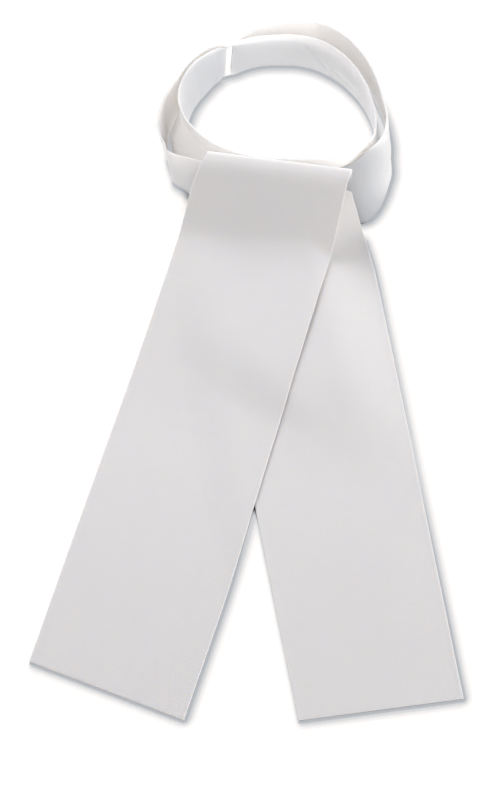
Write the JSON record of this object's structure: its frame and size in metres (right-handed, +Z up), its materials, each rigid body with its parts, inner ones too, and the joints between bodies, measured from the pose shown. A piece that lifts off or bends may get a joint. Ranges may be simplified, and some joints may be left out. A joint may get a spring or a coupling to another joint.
{
  "type": "neck stock",
  "caption": "White cotton riding neck stock: a band wrapped twice round the neck through its own slot, with two wide tails tied in front and laid flat.",
  "frame": {"origin": "under the middle of the object's box, on the surface that it lies on", "axes": "+Z up out of the surface, +Y from the tails' ends to the neck loop, +X to the wearer's left, which is the right in the picture"},
  "size_m": [0.2756, 0.5194, 0.0463],
  "materials": {
    "cotton": "fine plain weave, matt"
  },
  "bodies": {
    "root": {"slotted_neckband": "cotton", "threaded_neckband": "cotton", "rear_tail": "cotton", "front_tail": "cotton"}
  },
  "joints": []
}
